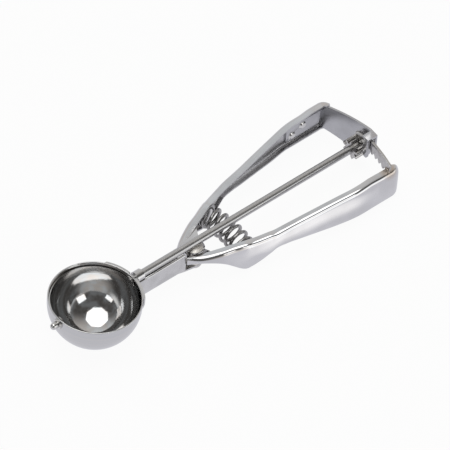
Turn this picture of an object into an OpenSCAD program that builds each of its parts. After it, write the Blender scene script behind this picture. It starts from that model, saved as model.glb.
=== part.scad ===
// Squeeze-handle ice cream scoop in polished sheet and wire steel.
// The frame of the sizes: origin at the centre of the bowl's sphere, +X along the rod to the
// handle ends, +Z up out of the bowl. The whole scoop is then laid down as it rests on a table.

/* [Bowl] */
// Outside diameter of the bowl
bowl_d = 50; // [44:0.5:60]
// Thickness of the bowl's wall
bowl_wall = 0.8; // [0.6:0.1:1.2]
// Height of the straight band above the bowl's centre
rim_h = 3.5; // [2.6:0.1:6]
// Radius of the rounded rim edge, as a share of the wall
rim_round = 0.45; // [0.2:0.05:0.49]

/* [Wiper] */
// Thickness of the wiper's strip
wiper_t = 0.5; // [0.4:0.1:0.8]
// Width of the wiper's strip
wiper_w = 4.8; // [3:0.2:8]
// Distance from the rod's axis up to the wiper's upper edge
wiper_top = 1.1; // [0.5:0.1:2]
// Radius of the round eye at each end of the wiper
eye_r = 3.3; // [2.6:0.1:4]
// Gap between the wiper and the bowl
wiper_gap = 0.25; // [0.1:0.05:0.5]

/* [Rod] */
// Diameter of the rod
rod_d = 4.4; // [3:0.1:4.6]
// How far the rod's rear end stands out behind the arc plate
rod_proud = 0.4; // [0.2:0.1:2]
// Clearance on the radius of everything that turns
run_gap = 0.05; // [0.02:0.01:0.1]

/* [Front pin] */
// Diameter of the front pin's shank
front_pin_d = 2.6; // [2:0.1:3.4]
// Diameter of the front pin's domed head
front_head_d = 3.8; // [3.4:0.1:5]
// Length of the front pin's head with its dome
front_head_l = 3.7; // [2.4:0.1:5]
// Diameter of the boss on the front of the bowl
front_boss_d = 6; // [5:0.1:8]
// How far the front boss stands out from the bowl
front_boss_h = 1; // [0.6:0.1:2]

/* [Neck] */
// Outside width of the neck channel
neck_w = 7.8; // [6.8:0.1:10]
// Thickness of the neck's sheet
neck_t = 1.2; // [0.8:0.1:1.6]
// Depth of the neck channel's floor below the rod's axis
neck_depth = 15.1; // [13:0.1:18]
// Distance of the neck's upper edges below the rod's axis
neck_edge = 1.7; // [1:0.1:1.9]
// Length of the neck's walls behind the bowl
neck_l = 34.5; // [29:0.5:42]
// Half angle that the saddle covers round the bowl
saddle_angle = 38; // [25:1:50]
// Radius of the saddle's rounded outline
saddle_r = 16; // [12:0.5:20]
// Half width of the slot in the saddle for the rod
saddle_slot = 2.6; // [2.4:0.1:3.5]
// Length of the guide that bridges the neck over the rod
guide_l = 4.4; // [3:0.1:8]
// Distance from the bowl's wall back to the rod's guide
guide_back = 2.2; // [1.8:0.1:12]
// Wall of the guide over the rod
guide_wall = 1.1; // [0.8:0.1:2]

/* [Pivot] */
// Distance from the end of the neck's walls back to the pivot
pivot_back = 9; // [8:0.5:12]
// Diameter of the pivot pin's shank
pin_d = 4.8; // [4:0.1:5.6]
// Diameter of the round bush on the pin
bush_d = 9.6; // [8:0.1:10.4]
// Height of the round bush
bush_h = 1.8; // [1.6:0.1:2.4]
// Diameter of the pin's upper domed head
pin_head_d = 9; // [5.8:0.1:10]
// Height of the pin's upper domed head
pin_head_h = 1.1; // [0.6:0.1:1.2]
// Diameter of the pin's riveted lower head
rivet_head_d = 7.2; // [6:0.1:9]
// Height of the pin's riveted lower head
rivet_head_h = 1.3; // [0.8:0.1:2]
// Diameter of the lower spacer on the pin
spacer_d = 8.8; // [7:0.1:10]
// Thickness of the washer under the neck's tongue
washer_t = 0.6; // [0.4:0.1:1]
// Diameter of the washer under the neck's tongue
washer_d = 9; // [8:0.1:11]
// Radius of the handles' eyes round the pin
ear_r = 5.4; // [4.6:0.1:6]
// Sliding gap between stacked flat parts at the pivot
stack_gap = 0.05; // [0.02:0.01:0.1]

/* [Handles] */
// Thickness of the handles' sheet
handle_t = 1; // [0.8:0.1:1.4]
// Half of the distance across both handles at their widest
handle_half = 31.6; // [28:0.1:36]
// Distance from the rack forward to where the handles' ends begin to curl in
curl_lead = 2.5; // [1:0.1:4]
// Radius of the curled handle ends
end_curl_r = 7; // [6:0.5:9]
// Angle through which the handle ends curl in
end_curl_angle = 66; // [45:1:75]
// Height of the handles' upper face above the rod's axis at the rear
rear_top = 8; // [6:0.1:9]
// Depth of the handles' lower face below the rod's axis at the rear
rear_bottom = 12; // [10:0.1:16]
// Depth of the finger guard, the hump in the handles' lower face
guard_depth = 18; // [15:0.1:18.3]
// Depth of the handles' waist behind the guard
waist_depth = 9; // [8.5:0.1:12]
// Distance from the pivot back to the handles' waist
waist_back = 38.5; // [34:0.5:43]
// Length of the handles' straight rear part
straight_l = 23; // [18:0.5:26]
// How much taller than wide the handles' upper outer corners are
shoulder = 2; // [1:0.1:2.2]
// Width of the handles' upper turned-in flanges
flange_w = 5.3; // [4:0.1:6]
// Width of the handles' lower turned-in flanges
low_flange_w = 4; // [3.5:0.1:6]
// Outside radius of the handles' rounded corners
corner_r = 2.6; // [1.8:0.1:3.4]
// Gap left round the bush by the handles' flanges
flange_relief = 1.4; // [0.8:0.1:2.5]

/* [Spring] */
// Diameter of the spring's wire
wire_d = 1.9; // [1.4:0.1:2]
// Outside diameter of the spring
spring_d = 14; // [11:0.1:14.2]
// Number of turns in the spring
spring_turns = 9.5; // [7:0.5:11]
// Depth of the spring's axis below the rod's axis
spring_depth = 9.6; // [9.5:0.1:9.7]
// Diameter of the stud inside each end of the spring
seat_stud_d = 8.4; // [6:0.1:9]
// Length of the stud inside each end of the spring
seat_stud_l = 3; // [2:0.1:5]
// Thickness of the plate under each end of the spring
seat_plate_t = 0.8; // [0.6:0.1:1.5]

/* [Rack and pinion] */
// Radius of the rack's middle about the pivot
rack_r = 112; // [98:0.5:125]
// Thickness of the rack
rack_t = 1.3; // [1:0.1:1.8]
// Height of the rack's upper edge above the rod's axis
rack_top = 12.7; // [11:0.1:14]
// Height of the rack's free end above the rod's axis
rack_nose_top = 9.6; // [8.5:0.1:11]
// Gear module, the pitch diameter over the number of teeth
gear_module = 1.1; // [1:0.05:1.15]
// Number of teeth on the pinion
pinion_teeth = 9; // [9:1:10]
// Length of the pinion along the rod
pinion_l = 6.5; // [5:0.1:7]
// How far the pinion reaches past the rack's rear face
pinion_proud = 0.35; // [0.1:0.05:0.6]
// Angle from the pivot's centre line that the rack's free end reaches past it
rack_lead_angle = 1.3; // [1:0.1:3]
// Number of gaps between the rack's teeth, from the rod to the squeeze handle
rack_gaps = 6; // [6:1:6]
// Play between the gears' flanks
backlash = 0.4; // [0.3:0.02:0.5]

/* [Arc plate] */
// Gap between the rack and the arc plate behind it
plate_gap = 2.25; // [1.8:0.05:4]
// Thickness of the arc plate
plate_t = 1.2; // [1:0.1:1.6]
// Height of the plate's upper edge at the rod
plate_top = 12.9; // [12.7:0.1:15]
// Height of the plate's upper edge at the handle
plate_handle_top = 6.2; // [4:0.1:6.6]
// Depth of the plate's lower edge
plate_depth = 10.6; // [8:0.1:10.8]
// Distance that the plate reaches past the rod
plate_past = 10; // [9:0.1:10.4]
// Length of the tab that lies along the fixed handle
tab_l = 24.5; // [22:0.5:25]
// Diameter of the rivets through the tab
rivet_d = 3; // [2.4:0.1:4]
// Gap between the rack and its guide
guide_gap = 0.4; // [0.3:0.05:0.6]

/* [Hidden] */
$fn = 64;
eps = 0.01;

// Places along the rod of the pivot, the rack and the arc plate
neck_end_x = bowl_d / 2 + neck_l;
pivot_x = neck_end_x + pivot_back;
rack_x = pivot_x + rack_r;
plate_r = rack_r + rack_t / 2 + plate_gap;
plate_x = pivot_x + plate_r;
rod_end_x = plate_x + plate_t + rod_proud;
handle_end_x = rack_x - curl_lead;

// Bowl, wiper and rod
bowl_r = bowl_d / 2;
bowl_in = bowl_r - bowl_wall;
wiper_out = bowl_in - wiper_gap;
wiper_in = wiper_out - wiper_t;
rod_r = rod_d / 2;
rod_bevel = 0.5;
boss_face = bowl_r + front_boss_h;
front_shank_r = front_pin_d / 2;
front_head_r = front_head_d / 2;
front_tip = boss_face + 2 * run_gap + front_head_l;

// Neck
neck_half = neck_w / 2;
neck_low = -neck_depth;
guide_x = bowl_r + guide_back;
saddle_out = bowl_r + neck_t;

// Levels of the stack of parts at the pivot, from the top down
ear_top = -(rod_r + 0.4 + pin_head_h);
bush_top = ear_top - handle_t;
bush_low = bush_top - bush_h;
squeeze_ear = bush_low - stack_gap - handle_t;
fixed_ear = squeeze_ear - stack_gap - handle_t;
tongue_top = neck_low + neck_t;
washer_low = neck_low - washer_t;
pin_r = pin_d / 2;
tongue_r = washer_d / 2;

// Stations along a handle: distance from the bowl, half spread, upper level, lower level, flange
front_low = fixed_ear;
grip_rise = rear_top / 8;
waist_x = pivot_x + waist_back;
full_x = handle_end_x - straight_l;
function guard_x(share) = pivot_x + share * waist_back;
function grip_x(share) = waist_x + share * (full_x - waist_x);
stations = [
    [neck_end_x - 4, neck_half - 1, ear_top, front_low, 1.4],
    [neck_end_x + run_gap, neck_half + 0.9, ear_top, front_low, 1.6],
    [guard_x(-0.04), handle_half * 0.316, ear_top, front_low, flange_w - 1],
    [guard_x(0.22), handle_half * 0.481, ear_top + 1.6, front_low - 2.6, flange_w],
    [guard_x(0.48), handle_half * 0.614, -0.5, -guard_depth, flange_w],
    [guard_x(0.61), handle_half * 0.661, -0.4, -guard_depth, flange_w],
    [guard_x(0.74), handle_half * 0.703, -0.2, -(3 * guard_depth + waist_depth) / 4, flange_w],
    [guard_x(0.87), handle_half * 0.741, 0.1, -(guard_depth + 2 * waist_depth) / 3, flange_w],
    [waist_x, handle_half * 0.775, 0.4, -waist_depth, flange_w],
    [grip_x(1 / 4), handle_half * 0.829, 2.4 * grip_rise, -(waist_depth + 1), flange_w],
    [grip_x(1 / 2), handle_half * 0.889, 4.2 * grip_rise, -(rear_bottom - 1), flange_w],
    [grip_x(3 / 4), handle_half * 0.946, 5.9 * grip_rise, -rear_bottom, flange_w],
    [full_x, handle_half, 7.3 * grip_rise, -rear_bottom, flange_w],
    [(full_x + handle_end_x) / 2, handle_half, rear_top, -rear_bottom, flange_w],
    [handle_end_x, handle_half, rear_top, -rear_bottom, flange_w],
    [handle_end_x + straight_l / 2, handle_half, rear_top, -rear_bottom, flange_w]
];
steps_per_station = 5;
guard_station = 3;

// Smooth curve through four neighbouring stations
function smooth(a, b, c, d, t) =
    0.5 * (2 * b + (c - a) * t + (2 * a - 5 * b + 4 * c - d) * t * t + (3 * b - a - 3 * c + d) * t * t * t);

function straight_run() = [
    for (i = [1 : len(stations) - 3])
        for (s = [0 : steps_per_station - 1])
            smooth(stations[i - 1], stations[i], stations[i + 1], stations[i + 2], s / steps_per_station)
];

function curled_end() = [
    for (a = [0 : end_curl_angle / 8 : end_curl_angle])
        [handle_end_x + end_curl_r * sin(a), handle_half - end_curl_r * (1 - cos(a)),
            rear_top - (1 - cos(a)), -rear_bottom + (1 - cos(a)), flange_w - 1.2 * a / end_curl_angle]
];

handle_path = concat(straight_run(), curled_end());
path_last = len(handle_path) - 1;

function flat_unit(v) = [v[0], v[1]] / norm([v[0], v[1]]);
function along(k) = flat_unit(handle_path[min(k + 1, path_last)] - handle_path[max(k - 1, 0)]);
function inward(k) = [along(k)[1], -along(k)[0]];
function path_xy(k) = [handle_path[k][0], handle_path[k][1]];

// Section of a handle across its path: [distance inward, height]
corner_steps = 5;
function corner(cx, cz, wide, high, from, to) = [
    for (s = [0 : corner_steps]) let (a = from + (to - from) * s / corner_steps)
        [cx + wide * cos(a), cz + high * sin(a)]
];
function handle_section(top, low, w, low_w, r) = let (t = handle_t, high = min(shoulder * r, 0.45 * (top - low)))
    concat(
        corner(r, top - high, r, high, 180, 90),
        [[w, top], [w, top - t]],
        corner(r, top - high, r - t, high - t, 90, 180),
        corner(r, low + r, r - t, r - t, 180, 270),
        [[low_w, low + t], [low_w, low]],
        corner(r, low + r, r, r, 270, 180)
    );
function low_flange(k) = handle_path[k][4] * low_flange_w / flange_w;
function corner_at(k) = min(corner_r, low_flange(k) - 0.1);
function section_at(k) = let (p = handle_path[k], n = inward(k))
    [for (q = handle_section(p[2], p[3], p[4], low_flange(k), corner_at(k)))
        [p[0] + n[0] * q[0], p[1] + n[1] * q[0], q[1]]];

// Spring seats and the spring between them
seat_k = guard_station * steps_per_station + 3;
seat_n = inward(seat_k);
seat_lean = atan2(seat_n[0], -seat_n[1]);
seat_xy = path_xy(seat_k) + seat_n * handle_t;
spring_end_xy = seat_xy + seat_n * (seat_plate_t + wire_d / 2);
spring_r = (spring_d - wire_d) / 2;
spring_half = spring_end_xy[1];
spring_arc_r = spring_half / sin(seat_lean);
spring_arc_x = spring_end_xy[0] - spring_arc_r * cos(seat_lean);
wire_sides = 8;
turn_steps = 16;

// Gears
pitch_r = gear_module * pinion_teeth / 2;
pressure_angle = 25;
base_r = pitch_r * cos(pressure_angle);
pinion_out = pitch_r + 0.9 * gear_module;
pinion_root = pitch_r - 1.08 * gear_module;
tooth_pitch = PI * gear_module;
pitch_step = tooth_pitch / rack_r * 180 / PI;
rack_tip = pitch_r - 0.76 * gear_module;
rack_root = pinion_out + 0.35;
pinion_rear = rack_x + rack_t / 2 + pinion_proud;
pinion_front = pinion_rear - pinion_l;

// Arc plate and rack hood
web_in = handle_half - handle_t;
tab_y = web_in - plate_t;
tab_low = 1.15 * corner_r - rear_bottom;
tab_top = 7.3 * grip_rise - 1.15 * shoulder * corner_r;
corner_x = pivot_x + sqrt(pow(plate_r, 2) - pow(tab_y, 2));
rivet_r = rivet_d / 2;
lobe_y = -(pinion_out + 0.6);
lobe_w = plate_past + lobe_y;
lobe_z = 1.5;
hood_y = lobe_y + 1.2;
guide_r = rack_r - rack_t / 2 - guide_gap;
guide_front = pivot_x + sqrt(pow(guide_r - plate_t, 2) - pow(plate_past, 2));

// The scoop lies on the bowl and on the handles' rear ends
rest_x = handle_end_x + end_curl_r * 0.3;
rest_reach = norm([rest_x, rear_bottom]);
rest_tilt = asin(bowl_r / rest_reach) - atan2(rear_bottom, rest_x);
front_reach = front_tip * cos(rest_tilt);
hood_reach = (plate_x + plate_t) * cos(rest_tilt) + (plate_top + plate_t) * sin(rest_tilt);
curl_reach = (handle_end_x + end_curl_r * sin(end_curl_angle)) * cos(rest_tilt) + rear_top * sin(rest_tilt);
rear_reach = max(hood_reach, curl_reach);
rest_shift = (front_reach - rear_reach) / 2;

module at_rest() {
    translate([rest_shift, 0, bowl_r]) rotate([0, rest_tilt, 0]) children();
}

// A rod along X from x1 to x2
module x_rod(x1, x2, r) {
    translate([x1, 0, 0]) rotate([0, 90, 0]) cylinder(h = x2 - x1, r = r);
}

// A flat outline in the Y-Z plane, given thickness along X
module yz_plate(x1, x2) {
    translate([x1, 0, 0]) rotate([90, 0, 90]) linear_extrude(x2 - x1) children();
}

// Ring about the pivot's axis
module pivot_ring(r1, r2, z1, z2) {
    translate([pivot_x, 0, z1]) difference() {
        cylinder(h = z2 - z1, r = r2, $fn = 180);
        translate([0, 0, -1]) cylinder(h = z2 - z1 + 2, r = r1, $fn = 180);
    }
}

// Tube on the pivot pin
module pin_tube(z1, z2, d) {
    translate([pivot_x, 0, z1]) difference() {
        cylinder(h = z2 - z1, r = d / 2);
        translate([0, 0, -1]) cylinder(h = z2 - z1 + 2, r = pin_r);
    }
}

// Bowl: a spun half sphere with a straight band and a rounded rim
module bowl_profile() {
    round_r = bowl_wall * rim_round;
    intersection() {
        difference() {
            circle(r = bowl_r, $fn = 128);
            circle(r = bowl_in, $fn = 128);
        }
        translate([0, -bowl_r - 1]) square([bowl_r + 1, bowl_r + 1]);
    }
    translate([bowl_in, 0]) square([bowl_wall, rim_h - round_r]);
    translate([bowl_in + round_r, rim_h - round_r]) circle(r = round_r, $fn = 24);
    translate([bowl_r - round_r, rim_h - round_r]) circle(r = round_r, $fn = 24);
    translate([bowl_in + round_r, rim_h - 2 * round_r]) square([bowl_wall - 2 * round_r, 2 * round_r]);
}

module bowl() {
    color("lightgray") at_rest() difference() {
        rotate_extrude($fn = 128) bowl_profile();
        x_rod(-bowl_r - 1, 0, front_shank_r + run_gap);
        x_rod(0, bowl_r + 1, rod_r + run_gap);
    }
}

// Wiper: a thin sprung strip round the inside of the bowl, with an eye at each end
module wiper_shell() {
    difference() {
        sphere(r = wiper_out, $fn = 128);
        sphere(r = wiper_in, $fn = 128);
    }
}

module wiper() {
    color("gainsboro") at_rest() difference() {
        intersection() {
            wiper_shell();
            union() {
                translate([-bowl_r, 0, wiper_top - wiper_w]) cube([bowl_d, bowl_r, wiper_w]);
                x_rod(-bowl_r, -bowl_r / 2, eye_r);
                x_rod(bowl_r / 2, bowl_r, eye_r);
            }
        }
        x_rod(-bowl_r, 0, front_shank_r);
        x_rod(0, bowl_r, rod_r);
    }
}

// Front boss: a bush brazed on the front of the bowl
module front_boss() {
    color("silver") at_rest() difference() {
        x_rod(-boss_face, -bowl_r / 2, front_boss_d / 2);
        sphere(r = bowl_r, $fn = 128);
        cylinder(h = rim_h + 1, r = bowl_r, $fn = 128);
        x_rod(-boss_face - 1, 0, front_shank_r + run_gap);
    }
}

// Front pin: the wiper's front journal with a domed head outside the boss
module front_pin() {
    dome_r = front_head_r;
    color("silver") at_rest() union() {
        x_rod(-boss_face - 2 * run_gap - eps, -wiper_in, front_shank_r);
        x_rod(-front_tip + dome_r, -boss_face - 2 * run_gap, front_head_r);
        translate([-front_tip + dome_r, 0, 0]) sphere(r = dome_r);
    }
}

// Rod: turns the wiper, with the pinion at its rear end
module rod() {
    color("dimgray") at_rest() union() {
        x_rod(wiper_in - 0.4, rod_end_x - rod_bevel, rod_r);
        translate([rod_end_x - rod_bevel, 0, 0]) rotate([0, 90, 0])
            cylinder(h = rod_bevel, r1 = rod_r, r2 = rod_r - rod_bevel);
    }
}

// Neck: folded channel with a saddle on the bowl and a tongue under the pivot
module channel_outline(half, low) {
    union() {
        translate([0, low + half]) circle(r = half);
        translate([-half, low + half]) square([2 * half, -low - half - neck_edge]);
    }
}

module neck_channel() {
    difference() {
        yz_plate(bowl_r * 0.75, neck_end_x) difference() {
            channel_outline(neck_half, neck_low);
            channel_outline(neck_half - neck_t, neck_low + neck_t);
            translate([-neck_half + neck_t, -neck_edge - 1]) square([neck_w - 2 * neck_t, 2]);
        }
        sphere(r = bowl_r, $fn = 128);
    }
}

module saddle() {
    difference() {
        intersection() {
            union() {
                difference() {
                    sphere(r = saddle_out, $fn = 128);
                    translate([-bowl_r * 2, -bowl_r * 2, 0]) cube([bowl_r * 4, bowl_r * 4, bowl_r * 2]);
                }
                cylinder(h = rim_h - 0.5, r = saddle_out, $fn = 128);
            }
            x_rod(bowl_r * cos(saddle_angle), bowl_r * 2, saddle_r);
        }
        sphere(r = bowl_r, $fn = 128);
        cylinder(h = rim_h + 1, r = bowl_r, $fn = 128);
        translate([0, -saddle_slot, -rod_r - 0.3]) cube([bowl_r * 2, 2 * saddle_slot, bowl_r]);
    }
}

module neck_tongue() {
    difference() {
        union() {
            translate([pivot_x, 0, neck_low]) cylinder(h = neck_t, r = tongue_r);
            translate([0, 0, neck_low]) linear_extrude(neck_t) polygon([
                [neck_end_x - 6, -1.5], [neck_end_x, -neck_half * 0.75], [pivot_x, -tongue_r],
                [pivot_x, tongue_r], [neck_end_x, neck_half * 0.75], [neck_end_x - 6, 1.5]
            ]);
        }
        translate([pivot_x, 0, neck_low - 1]) cylinder(h = neck_t + 2, r = pin_r);
    }
}

module neck() {
    color("silver") at_rest() union() {
        neck_channel();
        saddle();
        neck_tongue();
    }
}

// Rod guide: a small bridge over the rod, on the edges of the neck
module rod_guide() {
    color("gainsboro") at_rest() difference() {
        union() {
            x_rod(guide_x, guide_x + guide_l, rod_r + run_gap + guide_wall);
            translate([guide_x, -neck_half, -neck_edge]) cube([guide_l, neck_w, 1.3]);
        }
        x_rod(guide_x - 1, guide_x + guide_l + 1, rod_r + run_gap);
        translate([guide_x - 1, -neck_w, -neck_edge - 2 * rod_d]) cube([guide_l + 2, 2 * neck_w, 2 * rod_d]);
    }
}

// Pivot pin: domed above the bush and riveted over under the washer
module pivot_pin() {
    dome_r = (pow(pin_head_d / 2, 2) + pow(pin_head_h, 2)) / (2 * pin_head_h);
    color("tan") at_rest() translate([pivot_x, 0, 0]) union() {
        translate([0, 0, washer_low - eps]) cylinder(h = ear_top - washer_low + 2 * eps, r = pin_r);
        intersection() {
            translate([0, 0, ear_top + pin_head_h - dome_r]) sphere(r = dome_r);
            translate([0, 0, ear_top]) cylinder(h = pin_head_h + 1, r = pin_head_d / 2);
        }
        translate([0, 0, washer_low - rivet_head_h])
            cylinder(h = rivet_head_h, r1 = rivet_head_d / 2 - rivet_head_h * 0.7, r2 = rivet_head_d / 2);
    }
}

// Bush on the pin above the handles' eyes
module pivot_bush() {
    color("tan") at_rest() pin_tube(bush_low, bush_top, bush_d);
}

// Spacer on the pin between the handles' eyes and the neck's tongue
module pivot_spacer() {
    color("darkgray") at_rest() pin_tube(tongue_top, fixed_ear, spacer_d);
}

// Washer under the neck's tongue
module pivot_washer() {
    color("darkgray") at_rest() pin_tube(washer_low, neck_low, washer_d);
}

// Handle: a pressed channel, open to the inside, with an eye round the pivot pin
module handle_channel() {
    n = len(section_at(0));
    points = [for (k = [0 : path_last]) each section_at(k)];
    sides = [for (k = [0 : path_last - 1]) for (j = [0 : n - 1])
        [(k + 1) * n + j, (k + 1) * n + (j + 1) % n, k * n + (j + 1) % n, k * n + j]];
    front = [[for (j = [0 : n - 1]) j]];
    back = [[for (j = [0 : n - 1]) path_last * n + n - 1 - j]];
    polyhedron(points, concat(sides, front, back), convexity = 6);
}

module handle_ear(level, top_ear) {
    first = 2;
    last = 2 * steps_per_station + 1;
    edge = [for (k = [first : last]) path_xy(k) + inward(k) * (top_ear ? corner_at(k) : handle_t / 2)];
    difference() {
        translate([0, 0, level]) linear_extrude(handle_t) union() {
            translate([pivot_x, 0]) circle(r = ear_r);
            polygon(concat(edge, [[pivot_x + ear_r * 0.9, 2], [pivot_x - ear_r * 0.9, 2]]));
        }
        translate([pivot_x, 0, level - 1]) cylinder(h = handle_t + 2, r = pin_r + run_gap);
    }
}

module at_seat() {
    translate([seat_xy[0], seat_xy[1], -spring_depth]) rotate([90, 0, seat_lean]) children();
}

module handle(level) {
    union() {
        difference() {
            handle_channel();
            translate([pivot_x, 0, -2 * guard_depth])
                cylinder(h = 4 * guard_depth, r = max(bush_d / 2, ear_r) + flange_relief);
            at_seat() cylinder(h = 2 * handle_t, r = spring_d / 2 + 2 * eps);
        }
        handle_ear(level, false);
    }
}

module fixed_handle() {
    color("lightgray") at_rest() difference() {
        union() {
            handle(fixed_ear);
            handle_ear(ear_top - handle_t, true);
        }
        rivet_holes();
    }
}

module squeeze_handle() {
    color("lightgray") at_rest() mirror([0, 1, 0]) handle(squeeze_ear);
}

// Spring seats: a plate with a stud, riveted inside each handle
module spring_seat() {
    at_seat() union() {
        cylinder(h = seat_plate_t, r = spring_d / 2);
        cylinder(h = seat_plate_t + seat_stud_l, r = seat_stud_d / 2);
    }
}

module fixed_spring_seat() {
    color("darkgray") at_rest() spring_seat();
}

module squeeze_spring_seat() {
    color("darkgray") at_rest() mirror([0, 1, 0]) spring_seat();
}

// Spring: round wire coiled on a shallow arc, with close end turns
function coil_share(s) = let (ends = 1.2 / spring_turns)
    s < ends ? 0.3 * s :
    s > 1 - ends ? 1 - 0.3 * (1 - s) :
    0.3 * ends + (s - ends) * (1 - 0.6 * ends) / (1 - 2 * ends);
function coil_point(s) = let (a = seat_lean * (1 - 2 * coil_share(s)), turn = 360 * spring_turns * s)
    [spring_arc_x + (spring_arc_r + spring_r * cos(turn)) * cos(a),
        (spring_arc_r + spring_r * cos(turn)) * sin(a),
        -spring_depth + spring_r * sin(turn)];
function unit(v) = v / norm(v);

module spring() {
    rings = ceil(spring_turns * turn_steps);
    center = [for (i = [0 : rings]) coil_point(i / rings)];
    points = [for (i = [0 : rings])
        let (t = unit(center[min(i + 1, rings)] - center[max(i - 1, 0)]),
            up = [cos(360 * spring_turns * i / rings), 0, sin(360 * spring_turns * i / rings)],
            b = unit(cross(t, up)), c = cross(b, t))
        for (j = [0 : wire_sides - 1])
            center[i] + wire_d / 2 * (cos(360 * j / wire_sides) * c + sin(360 * j / wire_sides) * b)];
    sides = [for (i = [0 : rings - 1]) for (j = [0 : wire_sides - 1])
        [(i + 1) * wire_sides + j, (i + 1) * wire_sides + (j + 1) % wire_sides,
            i * wire_sides + (j + 1) % wire_sides, i * wire_sides + j]];
    front = [[for (j = [0 : wire_sides - 1]) j]];
    back = [[for (j = [0 : wire_sides - 1]) rings * wire_sides + wire_sides - 1 - j]];
    color("slategray") at_rest() polyhedron(points, concat(sides, front, back), convexity = 10);
}

// Arc plate: joins the fixed handle to the rod's rear end, with a hood over the rack
module plate_outline() {
    polygon([
        [tab_y - plate_t, -plate_depth], [tab_y + plate_t, tab_low], [tab_y + plate_t, tab_top],
        [tab_y - plate_t, plate_handle_top], [hood_y + 1, plate_top + plate_t],
        [-plate_past, plate_top + plate_t], [-plate_past, 5.8], [-4.5, -rod_r - 4.5], [2, -plate_depth]
    ]);
}

module plate_tab() {
    translate([corner_x + plate_t - tab_l, tab_y, tab_low]) cube([tab_l, plate_t, tab_top - tab_low]);
}

module rack_hood() {
    hood_top = plate_top + plate_t;
    translate([guide_front, -plate_past, plate_top])
        cube([plate_x + plate_t / 2 - guide_front, plate_past + hood_y, plate_t]);
    intersection() {
        pivot_ring(guide_r - plate_t, guide_r, lobe_z - lobe_w, hood_top);
        yz_plate(guide_front, guide_front + 2 * plate_t) union() {
            translate([lobe_y - lobe_w / 2, lobe_z]) circle(r = lobe_w / 2);
            polygon([[-plate_past, lobe_z], [lobe_y, lobe_z], [lobe_y, plate_top / 2],
                [hood_y, plate_top - plate_t], [hood_y, hood_top], [-plate_past, hood_top]]);
        }
    }
}

// The handle's curled end leaves this much room for the plate's bend
module bend_room() {
    translate([handle_end_x, handle_half - end_curl_r, -rear_bottom]) difference() {
        cube([2 * end_curl_r, 2 * end_curl_r, rear_bottom + rear_top]);
        translate([0, 0, -1]) cylinder(h = rear_bottom + rear_top + 2, r = end_curl_r - handle_t - run_gap);
    }
}

module arc_plate() {
    color("lightslategray") at_rest() difference() {
        union() {
            intersection() {
                pivot_ring(plate_r, plate_r + plate_t, -plate_depth - 1, plate_top + 2);
                yz_plate(corner_x - plate_t, plate_x + 2 * plate_t) plate_outline();
            }
            plate_tab();
            rack_hood();
        }
        x_rod(plate_x - plate_gap, rod_end_x + 1, rod_r + run_gap);
        bend_room();
        rivet_holes();
    }
}

// Rivets through the tab and the fixed handle: [distance from the bowl, height]
rivet_places = [[corner_x - 19, -5.5], [corner_x - 12, -2]];

module rivet_holes() {
    for (p = rivet_places)
        translate([p[0], handle_half + 5, p[1]]) rotate([90, 0, 0]) cylinder(h = 14, r = rivet_r);
}

module rivet(shank) {
    head_r = rivet_r * 1.55;
    head_h = rivet_r * 0.5;
    union() {
        cylinder(h = shank + eps, r = rivet_r);
        translate([0, 0, shank]) cylinder(h = head_h, r1 = head_r, r2 = head_r * 0.7);
    }
}

module plate_rivets() {
    color("silver") at_rest() for (p = rivet_places)
        translate([p[0], handle_half, p[1]]) rotate([90, 0, 0]) rivet(handle_t + plate_t);
}

// Pinion: involute teeth, one pointing straight up at rest
function involute_angle(r) = r <= base_r ? 0 : sqrt(pow(r / base_r, 2) - 1) * 180 / PI - acos(base_r / r);
pinion_half = (tooth_pitch - backlash) / 2 / pitch_r / 2 * 180 / PI;
function flank_angle(r) = pinion_half + involute_angle(pitch_r) - involute_angle(r);
flank_radii = [pinion_root, base_r, pitch_r, (pitch_r + pinion_out) / 2, pinion_out];

module pinion_outline() {
    polygon([for (tooth = [0 : pinion_teeth - 1]) let (mid = 90 + 360 * tooth / pinion_teeth)
        each concat(
            [for (r = flank_radii) r * [cos(mid - flank_angle(r)), sin(mid - flank_angle(r))]],
            [for (i = [1 : len(flank_radii)]) let (r = flank_radii[len(flank_radii) - i])
                r * [cos(mid + flank_angle(r)), sin(mid + flank_angle(r))]]
        )]);
}

module pinion() {
    color("rosybrown") at_rest() difference() {
        yz_plate(pinion_front, pinion_rear) pinion_outline();
        x_rod(pinion_front - 1, pinion_rear + 1, rod_r);
    }
}

// Rack: a toothed strip bent about the pivot, standing on the squeeze handle's flange
module rack_gap(angle) {
    reach = rack_r + 2 * rack_t;
    below = rack_tip - rack_t / 2;
    tip_half = (tooth_pitch + backlash) / 4 + (pitch_r - below) * tan(pressure_angle);
    root_half = (tooth_pitch + backlash) / 4 - (rack_root - pitch_r) * tan(pressure_angle);
    translate([pivot_x, 0, 0]) rotate([0, 0, angle]) yz_plate(reach - 4 * rack_t, reach)
        polygon([[-tip_half, below], [-root_half, rack_root], [root_half, rack_root], [tip_half, below]]);
}

module rack_outline() {
    free_y = rack_r * sin(rack_lead_angle);
    teeth_end_y = -rack_r * sin((rack_gaps + 0.75) * pitch_step);
    foot_y = -(handle_half - flange_w) + 0.5;
    outer_y = -handle_half + corner_r * 0.8;
    nose_r = 2;
    polygon(concat(
        [[free_y, rack_tip], [teeth_end_y, rack_tip], [teeth_end_y, rack_root],
            [foot_y, rack_root], [foot_y, rear_top], [outer_y, rear_top], [outer_y, rack_top],
            [-plate_past, rack_top], [-pinion_out, (rack_top + rack_nose_top) / 2]],
        [for (a = [90 : -15 : 0]) [free_y - nose_r + nose_r * cos(a), rack_nose_top - nose_r + nose_r * sin(a)]]
    ));
}

module rack() {
    color("slategray") at_rest() difference() {
        intersection() {
            pivot_ring(rack_r - rack_t / 2, rack_r + rack_t / 2, rack_tip - 1, rack_top + 1);
            yz_plate(pivot_x + rack_r * 0.9, pivot_x + rack_r + 6) rack_outline();
        }
        for (i = [-1 : rack_gaps]) rack_gap(-i * pitch_step);
    }
}

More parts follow.
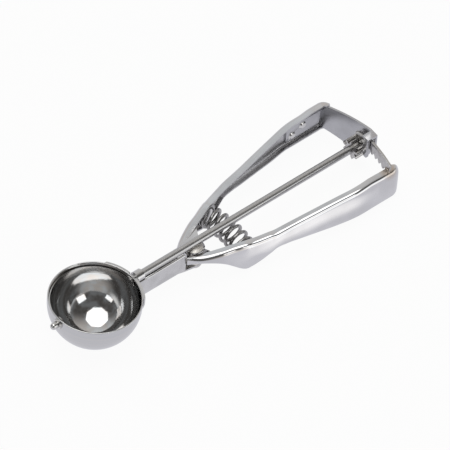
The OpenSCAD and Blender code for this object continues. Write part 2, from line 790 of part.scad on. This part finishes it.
bowl();
wiper();
front_boss();
front_pin();
rod();
neck();
rod_guide();
pivot_pin();
pivot_bush();
pivot_spacer();
pivot_washer();
fixed_handle();
squeeze_handle();
fixed_spring_seat();
squeeze_spring_seat();
spring();
arc_plate();
plate_rivets();
pinion();
rack();
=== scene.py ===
from math import cos, radians, sin, sqrt

import bpy
from mathutils import Matrix, Vector


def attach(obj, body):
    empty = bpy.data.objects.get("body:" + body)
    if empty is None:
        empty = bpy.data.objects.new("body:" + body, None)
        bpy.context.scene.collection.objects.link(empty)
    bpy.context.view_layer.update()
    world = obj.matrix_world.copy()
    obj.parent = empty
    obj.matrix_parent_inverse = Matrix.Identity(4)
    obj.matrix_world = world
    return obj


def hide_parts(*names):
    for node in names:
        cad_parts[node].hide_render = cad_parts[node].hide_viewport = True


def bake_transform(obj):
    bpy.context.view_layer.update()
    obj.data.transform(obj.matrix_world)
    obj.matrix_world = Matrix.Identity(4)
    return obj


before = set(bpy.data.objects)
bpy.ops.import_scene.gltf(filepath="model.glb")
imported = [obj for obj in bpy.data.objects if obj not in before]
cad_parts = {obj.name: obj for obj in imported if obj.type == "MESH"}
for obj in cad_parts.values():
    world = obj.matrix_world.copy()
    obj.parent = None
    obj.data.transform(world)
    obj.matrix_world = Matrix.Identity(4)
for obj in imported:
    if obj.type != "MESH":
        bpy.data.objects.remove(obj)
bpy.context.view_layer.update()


# The camera: a long lens, far back, looking down along the scoop from in front of the bowl.
# It stands at the photograph's viewing angle, with the whole scoop across the picture.
look_right = Vector((0.76306, -0.64611, 0.01135))
look_up = Vector((0.49983, 0.60121, 0.62322))
look_back = Vector((-0.4095, -0.46988, 0.78166))
aim = Vector((0.010629, -0.00031, 0.018687))
stand_off, sees_to, lens_mm = 10.0, 40, 1533.8
bpy.ops.object.select_all(action="DESELECT")
bpy.ops.object.camera_add()
camera = bpy.context.object
camera.name = "camera"
camera.matrix_world = Matrix.Translation(aim + stand_off * look_back) @ Matrix(
    (look_right, look_up, look_back)).transposed().to_4x4()
camera.data.lens = lens_mm
camera.data.clip_end = sees_to
bpy.context.scene.camera = camera
bpy.context.scene.view_settings.view_transform = "Standard"


# The studio: an eight-sided soft lamp overhead, two small oblong ones low down, a white card
# along one side and a pale sweep behind a dark room. The camera itself sees only white.
class Shade:
    """A value in a node tree, so that shader maths is written as plain Python."""

    def __init__(self, tree, socket=None):
        self.tree = tree
        self.socket = socket

    def node(self, kind, settings=None, inputs=None, output=0):
        made = self.tree.nodes.new("ShaderNode" + kind)
        for name, value in (settings or {}).items():
            setattr(made, name, value)
        for name, value in (inputs or {}).items():
            if isinstance(value, Shade):
                self.tree.links.new(value.socket, made.inputs[name])
            else:
                made.inputs[name].default_value = value
        return Shade(self.tree, made.outputs[output]) if made.outputs else None

    def math(self, operation, first, second=0.0):
        return self.node("Math", {"operation": operation}, {0: first, 1: second})

    def __add__(self, other):
        return self.math("ADD", self, other)

    __radd__ = __add__

    def __sub__(self, other):
        return self.math("SUBTRACT", self, other)

    def __rsub__(self, other):
        return self.math("SUBTRACT", other, self)

    def __mul__(self, other):
        return self.math("MULTIPLY", self, other)

    __rmul__ = __mul__

    def __truediv__(self, other):
        return self.math("DIVIDE", self, other)

    def __abs__(self):
        return self.math("ABSOLUTE", self)

    def most(self, other):
        return self.math("MAXIMUM", self, other)

    def along(self, axis):
        return self.node("VectorMath", {"operation": "DOT_PRODUCT"}, {0: self, 1: axis}, "Value")

    def fade(self, start, end):
        """0 before start, 1 after end, smooth between them. With start above end, it falls."""
        ends = {"Value": self, "From Min": min(start, end), "From Max": max(start, end)}
        rise = self.node("MapRange", {"interpolation_type": "SMOOTHSTEP"}, ends)
        return rise if start < end else 1 - rise

    def mix(self, low, high):
        """The colour low where this value is 0, and high where it is 1."""
        return self.node("Mix", {"data_type": "RGBA"}, {"Factor": self, 6: low, 7: high}, 2)


def lamp_face(ray, towards, across, half_width, half_height, corners_cut):
    """1 where a ray meets a flat lamp that stands square to the direction towards."""
    towards = Vector(towards).normalized()
    side = (Vector(across) - towards * towards.dot(Vector(across))).normalized()
    rise = towards.cross(side)
    depth = ray.along(towards)
    wide = abs(ray.along(side) / depth) / half_width
    high = abs(ray.along(rise) / depth) / half_height
    reach = wide.most(high)
    if corners_cut:
        reach = reach.most((wide + high) / sqrt(2))
    soft_edge, in_front = reach.fade(1.05, 0.95), depth.fade(0.0, 0.01)
    return soft_edge * in_front


dark, sweep_light, top_light, low_light, card_light, stray_light = 0.08, 0.55, 1.7, 1.5, 1.3, 0.1
warm_white, cool_white, pure_white = (1, 0.95, 0.91, 1), (0.95, 0.98, 1, 1), (1, 1, 1, 1)
to_sweep, to_card = Vector((0.6, 0.72, 0.35)).normalized(), Vector((0.45, -0.89, 0)).normalized()
world = bpy.data.worlds.new("studio")
bpy.context.scene.world = world
world.use_nodes = True
world.node_tree.nodes.clear()
studio = Shade(world.node_tree)
ray = studio.node("TexCoord", output="Generated")
overhead = lamp_face(ray, towards=(-0.06, 0.08, 1), across=(1, 0, 0),
                     half_width=0.47, half_height=0.47, corners_cut=True)
left_lamp = lamp_face(ray, towards=(0.03, -0.82, 0.57), across=(1, 0, 0),
                      half_width=0.2, half_height=0.13, corners_cut=False)
front_lamp = lamp_face(ray, towards=(-0.85, -0.08, 0.52), across=(0, 1, 0),
                       half_width=0.17, half_height=0.1, corners_cut=False)
sweep = ray.along(to_sweep).fade(0.15, 0.95)
card = ray.along(to_card).fade(0.55, 0.95) * ray.along((0, 0, 1)).fade(0.55, 0.3)
room = (dark + sweep_light * sweep + top_light * overhead
        + low_light * left_lamp + low_light * front_lamp + card_light * card)
clutter = studio.node("TexNoise", inputs={"Vector": ray, "Scale": 2.2, "Detail": 4})
room_light = studio.node("Background", inputs={
    "Color": clutter.fade(0.42, 0.6).mix(warm_white, cool_white),
    "Strength": room + stray_light * clutter.fade(0.4, 0.65)})
white = studio.node("Background", inputs={"Color": pure_white, "Strength": 1})
seen = studio.node("LightPath", output="Is Camera Ray")
studio.node("OutputWorld", inputs={"Surface": studio.node(
    "MixShader", inputs={0: seen, 1: room_light, 2: white})})


# The floor: plain white paper. Mirrored in the steel it shows a painted shadow, greyish near the
# scoop, and a painted pool of light out beside the near handle, from an edge that follows the
# handle's curve.
floor_size, floor_drop = 3, 0.0003
grip_end, grip_length, grip_out, grip_taper = 0.0975, 0.1147, 0.0317, 0.0277
plain_paper, own_light = (0.95, 0.95, 0.95, 1), 0.94
# Painted shadow grey and painted over-white light, seen only in the steel's reflections of the
# floor.
painted_shadow_paper, painted_light_paper = (0.72, 0.72, 0.77, 1), (1.25, 1.24, 1.25, 1)
bpy.ops.mesh.primitive_plane_add(size=floor_size, location=(0, 0, -floor_drop))
floor = bpy.context.object
floor.name = "floor"
paper = bpy.data.materials.new("white_paper")
paper.use_nodes = True
paper.node_tree.nodes.clear()
sheet = Shade(paper.node_tree)
seen = sheet.node("LightPath", output="Is Camera Ray")
mirrored = sheet.node("LightPath", output="Is Glossy Ray")
lit = sheet.node("BsdfDiffuse", inputs={"Color": plain_paper})
spot = sheet.node("TexCoord", output="Object")
length = spot.along((1, 0, 0))
from_end = sheet.math("MINIMUM", (grip_end - length) / grip_length, 1.0)
beside = spot.along((0, -1, 0)) - grip_out + grip_taper * from_end * from_end * from_end
behind_pivot, before_end = length.fade(-0.002, 0.034), length.fade(0.102, 0.07)
# Painted pool of light beside the near handle, shaped to its outline; elsewhere the painted shadow
# grey.
painted_light_pool = behind_pivot * before_end * beside.fade(0.005, 0.016)
glow = sheet.node("Emission", inputs={
    "Color": seen.mix(painted_light_pool.mix(painted_shadow_paper, painted_light_paper), pure_white), "Strength": 1})
sheet.node("OutputMaterial", inputs={"Surface": sheet.node(
    "MixShader", inputs={0: seen.most(mirrored) * own_light, 1: lit, 2: glow})})
floor.data.materials.append(paper)


# The bowl: spun from polished stainless sheet, with a short straight band up to its rim.
# The spinning leaves faint rings round its own axis, under a mirror polish.
tilt, shift, bowl_middle = radians(4.14936), -0.0777072, 0.025


def laid(x, y, z):
    """A place in millimetres along the rod, across it and above it, on the scoop as it lies."""
    return Vector((shift + (x * cos(tilt) + z * sin(tilt)) / 1000, y / 1000,
                   bowl_middle + (z * cos(tilt) - x * sin(tilt)) / 1000))


class Finish(Shade):
    """A steel finish: the colour, gloss and fine relief of one kind of surface."""

    def __init__(self, name):
        self.material = bpy.data.materials.new(name)
        self.material.use_nodes = True
        self.material.node_tree.nodes.clear()
        super().__init__(self.material.node_tree)
        self.place = self.node("TexCoord", output="Object")

    def centred(self, where):
        """Places measured from the point where, along the scoop's own axes."""
        return self.node("Mapping", {"vector_type": "TEXTURE"}, {
            "Vector": self.place, "Location": tuple(where), "Rotation": (0, tilt, 0)})

    def noise(self, places, scale, detail=3.0, stretch=(1, 1, 1)):
        drawn = self.node("Mapping", inputs={"Vector": places, "Scale": stretch})
        return self.node("TexNoise", inputs={"Vector": drawn, "Scale": scale, "Detail": detail})

    def finished(self, colour, roughness, relief, microns):
        """The material, with a relief that is so many microns deep where its value is 1."""
        bump = self.node("Bump", inputs={
            "Height": relief, "Strength": 1, "Distance": microns / 1000000})
        steel = self.node("BsdfPrincipled", inputs={
            "Base Color": colour, "Metallic": 1, "Roughness": roughness, "Normal": bump})
        self.node("OutputMaterial", inputs={"Surface": steel})
        return self.material


def dress(name, material):
    """Gives a CAD node its material."""
    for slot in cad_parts[name].material_slots:
        slot.material = material


bowl_warm, bowl_cool = (0.67, 0.66, 0.65, 1), (0.635, 0.64, 0.645, 1)
spun = Finish("spun_mirror")
from_axis = spun.centred(laid(0, 0, 0))
across_x, across_y, height = (
    spun.node("SeparateXYZ", inputs={0: from_axis}, output=axis) for axis in "XYZ")
radius = spun.math("POWER", across_x * across_x + across_y * across_y, 0.5)
ring = spun.node("CombineXYZ", inputs={"X": radius, "Y": height})
rings = spun.noise(ring, scale=9000, detail=2)
bands = spun.noise(ring, scale=900)
cloud = spun.noise(spun.place, scale=90)
haze = spun.noise(spun.place, scale=700, detail=4)
dress("bowl", spun.finished(
    colour=bands.fade(0.3, 0.7).mix(bowl_warm, bowl_cool),
    roughness=0.04 + 0.05 * haze.fade(0.4, 0.75) + 0.03 * rings,
    relief=rings + 0.4 * bands + 5 * cloud, microns=3))


# The wiper: a thin sprung strip inside the bowl, stamped from stainless strip and ground.
# Its two round eyes are pressed onto the front pin and the rod.
strip_dark, strip_light = (0.6, 0.59, 0.58, 1), (0.68, 0.67, 0.66, 1)
strip = Finish("ground_strip")
lines = strip.noise(strip.centred(laid(0, 0, 0)), scale=2500, detail=2, stretch=(1, 1, 8))
dress("wiper", strip.finished(
    colour=lines.mix(strip_dark, strip_light), roughness=0.1 + 0.08 * lines,
    relief=lines, microns=3))


# The front pin and its boss: the pin is turned with a domed head and runs in the boss,
# which is brazed on the front of the bowl.
turned_dark, turned_light = (0.64, 0.63, 0.62, 1), (0.76, 0.75, 0.73, 1)
turned = Finish("turned_bright")
marks = turned.noise(turned.place, scale=4000, detail=2, stretch=(3, 1, 1))
spots = turned.noise(turned.place, scale=400)
bright_turned = turned.finished(
    colour=spots.fade(0.3, 0.7).mix(turned_dark, turned_light), roughness=0.14 + 0.08 * spots,
    relief=marks, microns=3)
for name in ("front_boss", "front_pin"):
    dress(name, bright_turned)


# The neck: one folded and pressed channel, with its upper edges drawn in towards the rod, a
# saddle spot-brazed on the bowl and a tongue to the pivot. The guide bridges it over the rod.
def eased(node, name, edge=0, rounds=0, sharp=40):
    """A merged copy of a CAD solid, with its sharp edges eased or its curves made finer."""
    bpy.ops.object.select_all(action="DESELECT")
    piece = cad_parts[node].copy()
    piece.data = piece.data.copy()
    for key in list(piece.keys()):
        del piece[key]
    piece.name = piece.data.name = name
    piece.parent = None
    bpy.context.collection.objects.link(piece)
    bpy.context.view_layer.objects.active = piece
    piece.select_set(True)
    bpy.ops.mesh.customdata_custom_splitnormals_clear()
    bpy.ops.object.mode_set(mode="EDIT")
    bpy.ops.mesh.select_all(action="SELECT")
    bpy.ops.mesh.remove_doubles(threshold=0.000005)
    bpy.ops.mesh.tris_convert_to_quads(face_threshold=radians(3), shape_threshold=radians(60))
    if rounds:
        bpy.ops.mesh.select_mode(type="EDGE")
        bpy.ops.mesh.select_all(action="DESELECT")
        bpy.ops.mesh.edges_select_sharp(sharpness=radians(sharp))
        bpy.ops.transform.edge_crease(value=1)
    bpy.ops.object.mode_set(mode="OBJECT")
    if rounds:
        finer = piece.modifiers.new("finer", "SUBSURF")
        finer.levels = finer.render_levels = rounds
        bpy.ops.object.modifier_apply(modifier="finer")
    if edge:
        ease = piece.modifiers.new("edge", "BEVEL")
        ease.width = edge
        ease.segments = 2
        ease.limit_method = "ANGLE"
        ease.angle_limit = radians(sharp)
        bpy.ops.object.modifier_apply(modifier="edge")
    bpy.ops.object.shade_smooth_by_angle(angle=radians(sharp))
    return piece


rod_line = (laid(1, 0, 0) - laid(0, 0, 0)).normalized()
rod_up = (laid(0, 0, 1) - laid(0, 0, 0)).normalized()


def pulled(piece, picked, move, reach):
    """Pulls the picked places by move, in millimetres, and what is within reach of them less."""
    for part in (piece.data.vertices, piece.data.edges, piece.data.polygons):
        part.foreach_set("select", [False] * len(part))
    for vertex in piece.data.vertices:
        off = (vertex.co - laid(0, 0, 0)) * 1000
        vertex.select = picked(Vector((off.dot(rod_line), off.y, off.dot(rod_up))), vertex.normal)
    bpy.ops.object.mode_set(mode="EDIT")
    bpy.ops.mesh.select_mode(type="VERT")
    bpy.ops.transform.translate(
        value=Vector(move) / 1000, use_proportional_edit=True,
        proportional_edit_falloff="SMOOTH", proportional_size=reach / 1000)
    bpy.ops.object.mode_set(mode="OBJECT")


pressed_dark, pressed_light = (0.6, 0.595, 0.59, 1), (0.69, 0.685, 0.68, 1)
cut_levels = (-9, -8, -7, -6, -5, -4, -3)
cut_places = (30, 32, 34, 36, 38, 42, 46, 50, 54, 58)
edge_start, edge_end, edge_out, edge_level, drawn_in, edge_reach = 35, 59.6, 2.2, -2.2, 0.7, 6
pressed = Finish("pressed_bright")
pull = pressed.noise(pressed.centred(laid(0, 0, 0)), scale=900, stretch=(0.15, 1, 1))
smear = pressed.noise(pressed.place, scale=120)
bright_pressed = pressed.finished(
    colour=smear.fade(0.35, 0.65).mix(pressed_dark, pressed_light),
    roughness=0.12 + 0.07 * smear + 0.03 * pull, relief=pull + 2 * smear, microns=4)
dress("rod_guide", bright_pressed)
neck = eased("neck", "folded_neck")
bpy.ops.object.mode_set(mode="EDIT")
cuts = [(laid(0, 0, level), rod_up) for level in cut_levels]
cuts += [(laid(place, 0, 0), rod_line) for place in cut_places]
for place, across in cuts:
    bpy.ops.mesh.select_all(action="SELECT")
    bpy.ops.mesh.bisect(plane_co=place, plane_no=across)
bpy.ops.object.mode_set(mode="OBJECT")
for side in (-1, 1):
    pulled(neck, lambda place, normal: edge_start < place.x < edge_end
           and place.y * side > edge_out and place.z > edge_level,
           move=(0, -drawn_in * side, 0), reach=edge_reach)
bpy.ops.object.shade_smooth_by_angle(angle=radians(40))
neck.material_slots[0].material = bright_pressed
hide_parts("neck")
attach(neck, "frame")


# The hems: the neck's two upper edges are rolled over into small round beads beside the rod.
# They are of one sheet with the neck, and end before the bowl's saddle and the pivot.
hem_start, hem_end, hem_radius, hem_out, hem_level, hem_round = 32.2, 59.2, 0.85, 2.65, -1.95, 0.0003
for name, side in (("near_hem", -1), ("far_hem", 1)):
    bpy.ops.object.select_all(action="DESELECT")
    bpy.ops.mesh.primitive_cylinder_add(
        vertices=28, radius=hem_radius / 1000, depth=(hem_end - hem_start) / 1000,
        location=laid((hem_start + hem_end) / 2, side * hem_out, hem_level),
        rotation=(0, radians(90) + tilt, 0))
    hem = bpy.context.object
    hem.name = hem.data.name = name
    bpy.ops.object.transform_apply(location=True, rotation=True, scale=True)
    ends = hem.modifiers.new("ends", "BEVEL")
    ends.width = hem_round
    ends.segments = 3
    ends.limit_method = "ANGLE"
    ends.angle_limit = radians(60)
    bpy.ops.object.modifier_apply(modifier="ends")
    bpy.ops.object.shade_smooth_by_angle(angle=radians(40))
    hem.data.materials.append(bright_pressed)
    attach(hem, "frame")


# The rod: cold-drawn stainless wire, straight, with fine lines along it. It runs from the bowl
# over the neck and the pivot to the pinion, and turns the wiper.
rod_dark, rod_light = (0.48, 0.475, 0.47, 1), (0.58, 0.575, 0.57, 1)
drawn = Finish("drawn_rod")
draw_lines = drawn.noise(drawn.centred(laid(0, 0, 0)), scale=6000, detail=2, stretch=(0.01, 1, 1))
dull = drawn.noise(drawn.place, scale=150)
dress("rod", drawn.finished(
    colour=dull.mix(rod_dark, rod_light), roughness=0.22 + 0.1 * draw_lines,
    relief=draw_lines, microns=3))


# The pivot: a pin riveted over a washer, with a bush above the handles' eyes and a spacer
# below them. All four are turned, and slightly warm in colour from the heat of riveting.
pivot_at = 70
warm_dark, warm_light = (0.8, 0.77, 0.72, 1), (0.9, 0.87, 0.82, 1)
warm = Finish("turned_warm")
turning = warm.noise(warm.centred(laid(pivot_at, 0, 0)), scale=5000, detail=2, stretch=(0.2, 0.2, 1))
bloom = warm.noise(warm.place, scale=300)
warm_turned = warm.finished(
    colour=bloom.fade(0.3, 0.7).mix(warm_dark, warm_light), roughness=0.36 + 0.14 * bloom,
    relief=turning, microns=4)
for name in ("pivot_pin", "pivot_bush", "pivot_spacer", "pivot_washer"):
    dress(name, warm_turned)


# The handles: two pressed channels in mirror-polished sheet, open to the inside, with an eye
# round the pivot pin. The polishing leaves a slow wave and the finest lines along them. The
# inside stays as pressed, and the heat of the rack's weld has left a straw-coloured stain.
def crowned(piece, side):
    """Crowns a handle's top and web, and evens out its bend behind the guard."""
    def top_and_web(place, normal):
        return normal.z > 0.35 and normal.y * side > 0.3 and 84 < place.x < 164

    def bend_top(place, normal):
        return abs(place.x - 107) < 1.8 and place.z > -1

    def bend_foot(place, normal):
        return abs(place.x - 108) < 1.8 and place.z < -8

    pulled(piece, top_and_web, move=(0, -0.5 * side, -0.2), reach=9)
    pulled(piece, bend_top, move=(0, 0, 0.4), reach=14)
    pulled(piece, bend_foot, move=(0, 0, -0.5), reach=6)


polish_dark, polish_light = (0.66, 0.655, 0.66, 1), (0.73, 0.725, 0.73, 1)
raw_dark, raw_light = (0.52, 0.515, 0.52, 1), (0.6, 0.595, 0.6, 1)
weld_middle, straw = laid(176.5, -28, 8), (0.56, 0.49, 0.43, 1)
polish = Finish("handle_mirror")
buff = polish.noise(polish.centred(laid(pivot_at, 0, 0)), scale=2500, detail=2, stretch=(0.02, 1, 1))
wave = polish.noise(polish.place, scale=60, detail=2)
rubbed = polish.noise(polish.place, scale=500, detail=4)
from_weld = polish.node("VectorMath", {"operation": "LENGTH"}, {
    0: polish.centred(weld_middle)}, "Value")
stain, scorch = from_weld.fade(0.0065, 0.002), from_weld.fade(0.006, 0.002)
mirror = polish.finished(
    colour=stain.mix(wave.fade(0.35, 0.65).mix(polish_dark, polish_light), straw),
    roughness=0.05 + 0.06 * rubbed.fade(0.4, 0.75) + 0.02 * buff + 0.15 * scorch,
    relief=0.5 * buff + 6 * wave, microns=4)
inside = Finish("pressed_inside")
scale_marks = inside.noise(inside.centred(laid(pivot_at, 0, 0)), scale=1800, stretch=(0.05, 1, 1))
mottle = inside.noise(inside.place, scale=200, detail=4)
raw_inside = inside.finished(
    colour=mottle.fade(0.35, 0.65).mix(raw_dark, raw_light),
    roughness=0.2 + 0.14 * mottle + 0.05 * scale_marks, relief=scale_marks + mottle, microns=5)
for name, node, body, side in (("far_grip", "fixed_handle", "frame", 1),
                               ("near_grip", "squeeze_handle", "squeeze_side", -1)):
    grip = eased(node, name, rounds=2)
    crowned(grip, side)
    grip.material_slots[0].material = mirror
    grip.data.materials.append(raw_inside)
    for face in grip.data.polygons:
        faces_in, faces_down = face.normal.y * side < -0.35, face.normal.z < -0.6
        if faces_in or faces_down:
            face.material_index = 1
    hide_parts(node)
    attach(grip, body)


# The spring seats: a turned stud on a disc inside each handle, bright like the front pin.
# The stud stands in the spring's end and keeps it in its place.
for name in ("fixed_spring_seat", "squeeze_spring_seat"):
    dress(name, bright_turned)


# The spring: hard-drawn wire, darker than the sheet, coiled on a shallow arc with close ends.
# It is squeezed between the handles as they close.
wire_dark, wire_light = (0.3, 0.295, 0.29, 1), (0.42, 0.41, 0.4, 1)
lost_in_rounding = 0.00008
wire = Finish("spring_wire")
wire_marks = wire.noise(wire.place, scale=1500)
coil = eased("spring", "coil", rounds=1, sharp=60)
bpy.ops.object.mode_set(mode="EDIT")
bpy.ops.mesh.select_all(action="SELECT")
bpy.ops.transform.shrink_fatten(value=lost_in_rounding)
bpy.ops.object.mode_set(mode="OBJECT")
coil.material_slots[0].material = wire.finished(
    colour=wire_marks.fade(0.3, 0.7).mix(wire_dark, wire_light), roughness=0.14 + 0.12 * wire_marks,
    relief=wire_marks, microns=4)
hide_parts("spring")
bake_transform(coil)


# The arc plate: blanked from flat sheet, bent to an arc about the pivot and satin ground.
# Its tab is riveted to the far handle, and its hood folds over the rack.
rod_end = 180
satin_dark, satin_light = (0.47, 0.47, 0.485, 1), (0.55, 0.55, 0.565, 1)
satin = Finish("satin_plate")
grind = satin.noise(satin.centred(laid(rod_end, 0, 0)), scale=2200, stretch=(1, 0.03, 1))
patch = satin.noise(satin.place, scale=80)
plate = eased("arc_plate", "rear_plate", edge=0.00015)
plate.material_slots[0].material = satin.finished(
    colour=patch.fade(0.3, 0.7).mix(satin_dark, satin_light), roughness=0.26 + 0.1 * grind,
    relief=grind, microns=5)
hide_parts("arc_plate")
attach(plate, "frame")
dress("plate_rivets", bright_turned)


# The gears: the pinion is milled from bar and fixed on the rod, the rack is punched from strip
# and bent about the pivot. The rack's foot is welded on the near handle.
gear_dark, gear_light = (0.47, 0.455, 0.44, 1), (0.58, 0.57, 0.56, 1)
cut = Finish("cut_gear")
mill = cut.noise(cut.centred(laid(rod_end, 0, 0)), scale=3000, stretch=(0.1, 1, 1))
oil = cut.noise(cut.place, scale=250)
cut_steel = cut.finished(
    colour=oil.fade(0.3, 0.7).mix(gear_dark, gear_light), roughness=0.2 + 0.12 * mill,
    relief=mill, microns=6)
dress("pinion", cut_steel)
rack = eased("rack", "toothed_rack", edge=0.00012)
rack.material_slots[0].material = cut_steel
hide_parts("rack")
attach(rack, "squeeze_side")


# The weld: a short row of overlapping puddles along the foot of the rack, melted together on
# the near handle's edge and a little burnt.
puddle_count, small_puddle, large_more = 6, 0.00062, 0.00006
weld_along, weld_across, weld_level, step_along, step_across = 175.9, -29.2, 7.95, 0.2, 0.62
burnt_dark, burnt_light = (0.36, 0.31, 0.27, 1), (0.56, 0.5, 0.44, 1)
bpy.ops.object.select_all(action="DESELECT")
puddles = []
for k in range(puddle_count):
    bpy.ops.mesh.primitive_uv_sphere_add(
        segments=20, ring_count=12, radius=small_puddle + large_more * (k % 2),
        location=laid(weld_along + step_along * k, weld_across + step_across * k, weld_level),
        scale=(1, 1.1, 0.7))
    puddles.append(bpy.context.object)
for puddle in puddles:
    puddle.select_set(True)
bpy.ops.object.join()
weld = bpy.context.object
weld.name = weld.data.name = "rack_weld"
bpy.ops.object.transform_apply(location=True, rotation=True, scale=True)
melt = weld.modifiers.new("melt", "REMESH")
melt.mode = "VOXEL"
melt.voxel_size = 0.0001
bpy.ops.object.modifier_apply(modifier="melt")
settle = weld.modifiers.new("settle", "SMOOTH")
settle.factor = 0.5
settle.iterations = 3
bpy.ops.object.modifier_apply(modifier="settle")
bpy.ops.object.shade_smooth()
burnt = Finish("burnt_weld")
burn = burnt.noise(burnt.place, scale=900)
weld.data.materials.clear()
weld.data.materials.append(burnt.finished(
    colour=burn.fade(0.3, 0.7).mix(burnt_dark, burnt_light), roughness=0.2 + 0.25 * burn,
    relief=burn, microns=10))
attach(weld, "squeeze_side")
